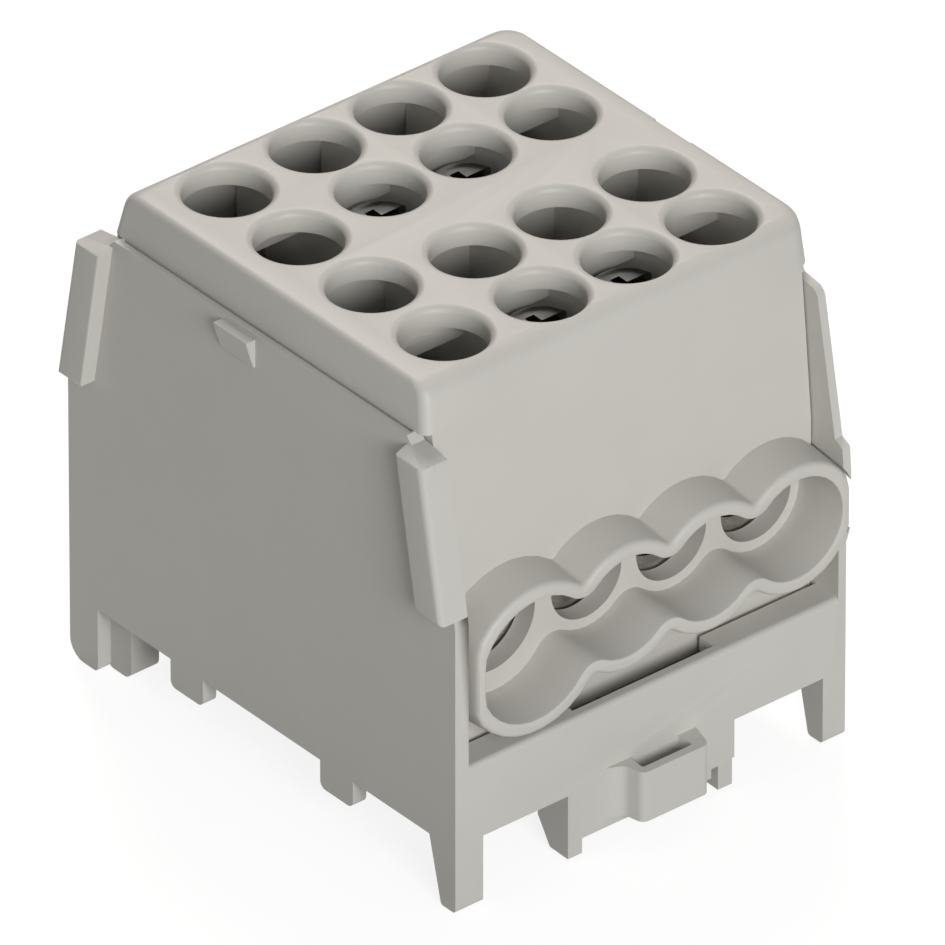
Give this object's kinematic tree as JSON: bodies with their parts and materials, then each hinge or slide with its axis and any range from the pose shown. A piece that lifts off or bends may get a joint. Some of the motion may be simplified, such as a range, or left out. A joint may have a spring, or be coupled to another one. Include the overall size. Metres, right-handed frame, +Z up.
{
  "type": "power distribution terminal block",
  "caption": "Rail-mounted power distribution block: light grey moulded base and cover, screw access holes on top, scalloped collar round the conductor entries.",
  "frame": {"origin": "middle of the outline on the plane of the feet", "axes": "+Z up from the feet to the screw access face, +Y along the conductors towards the fixed rail hook, -Y towards the latch, +X across the poles from the large first pole"},
  "size_m": [0.0722, 0.0886, 0.0794],
  "materials": {
    "base_plastic": "fine moulded texture",
    "cover_plastic": "fine moulded texture",
    "plated_bar": "tin plated",
    "zinc_steel": "zinc plated"
  },
  "bodies": {
    "block": {"housing_base": "base_plastic", "housing_cover": "cover_plastic", "terminal_bar_1": "plated_bar", "terminal_bar_2": "plated_bar", "terminal_bar_3": "plated_bar", "terminal_bar_4": "plated_bar"},
    "clamp_screw_1a": {"clamp_screw_1a": "zinc_steel"},
    "clamp_screw_1b": {"clamp_screw_1b": "zinc_steel"},
    "clamp_screw_1c": {"clamp_screw_1c": "zinc_steel"},
    "clamp_screw_1d": {"clamp_screw_1d": "zinc_steel"},
    "clamp_screw_2a": {"clamp_screw_2a": "zinc_steel"},
    "clamp_screw_2b": {"clamp_screw_2b": "zinc_steel"},
    "clamp_screw_2c": {"clamp_screw_2c": "zinc_steel"},
    "clamp_screw_2d": {"clamp_screw_2d": "zinc_steel"},
    "clamp_screw_3a": {"clamp_screw_3a": "zinc_steel"},
    "clamp_screw_3b": {"clamp_screw_3b": "zinc_steel"},
    "clamp_screw_3c": {"clamp_screw_3c": "zinc_steel"},
    "clamp_screw_3d": {"clamp_screw_3d": "zinc_steel"},
    "clamp_screw_4a": {"clamp_screw_4a": "zinc_steel"},
    "clamp_screw_4b": {"clamp_screw_4b": "zinc_steel"},
    "clamp_screw_4c": {"clamp_screw_4c": "zinc_steel"},
    "clamp_screw_4d": {"clamp_screw_4d": "zinc_steel"}
  },
  "joints": [
    {"name": "turn_1a", "type": "slide", "parent": "block", "child": "clamp_screw_1a", "axis": [0, 0, 1], "range_m": [-0.0116, 0.003]},
    {"name": "turn_1b", "type": "slide", "parent": "block", "child": "clamp_screw_1b", "axis": [0, 0, 1], "range_m": [-0.0116, 0.003]},
    {"name": "turn_1c", "type": "slide", "parent": "block", "child": "clamp_screw_1c", "axis": [0, 0, 1], "range_m": [-0.0116, 0.003]},
    {"name": "turn_1d", "type": "slide", "parent": "block", "child": "clamp_screw_1d", "axis": [0, 0, 1], "range_m": [-0.0116, 0.003]},
    {"name": "turn_2a", "type": "slide", "parent": "block", "child": "clamp_screw_2a", "axis": [0, 0, 1], "range_m": [-0.0086, 0.004]},
    {"name": "turn_2b", "type": "slide", "parent": "block", "child": "clamp_screw_2b", "axis": [0, 0, 1], "range_m": [-0.0126, 0]},
    {"name": "turn_2c", "type": "slide", "parent": "block", "child": "clamp_screw_2c", "axis": [0, 0, 1], "range_m": [-0.0086, 0.004]},
    {"name": "turn_2d", "type": "slide", "parent": "block", "child": "clamp_screw_2d", "axis": [0, 0, 1], "range_m": [-0.0126, 0]},
    {"name": "turn_3a", "type": "slide", "parent": "block", "child": "clamp_screw_3a", "axis": [0, 0, 1], "range_m": [-0.0086, 0.004]},
    {"name": "turn_3b", "type": "slide", "parent": "block", "child": "clamp_screw_3b", "axis": [0, 0, 1], "range_m": [-0.0126, 0]},
    {"name": "turn_3c", "type": "slide", "parent": "block", "child": "clamp_screw_3c", "axis": [0, 0, 1], "range_m": [-0.0086, 0.004]},
    {"name": "turn_3d", "type": "slide", "parent": "block", "child": "clamp_screw_3d", "axis": [0, 0, 1], "range_m": [-0.0126, 0]},
    {"name": "turn_4a", "type": "slide", "parent": "block", "child": "clamp_screw_4a", "axis": [0, 0, 1], "range_m": [-0.0086, 0.004]},
    {"name": "turn_4b", "type": "slide", "parent": "block", "child": "clamp_screw_4b", "axis": [0, 0, 1], "range_m": [-0.0086, 0.004]},
    {"name": "turn_4c", "type": "slide", "parent": "block", "child": "clamp_screw_4c", "axis": [0, 0, 1], "range_m": [-0.0086, 0.004]},
    {"name": "turn_4d", "type": "slide", "parent": "block", "child": "clamp_screw_4d", "axis": [0, 0, 1], "range_m": [-0.0086, 0.004]}
  ]
}
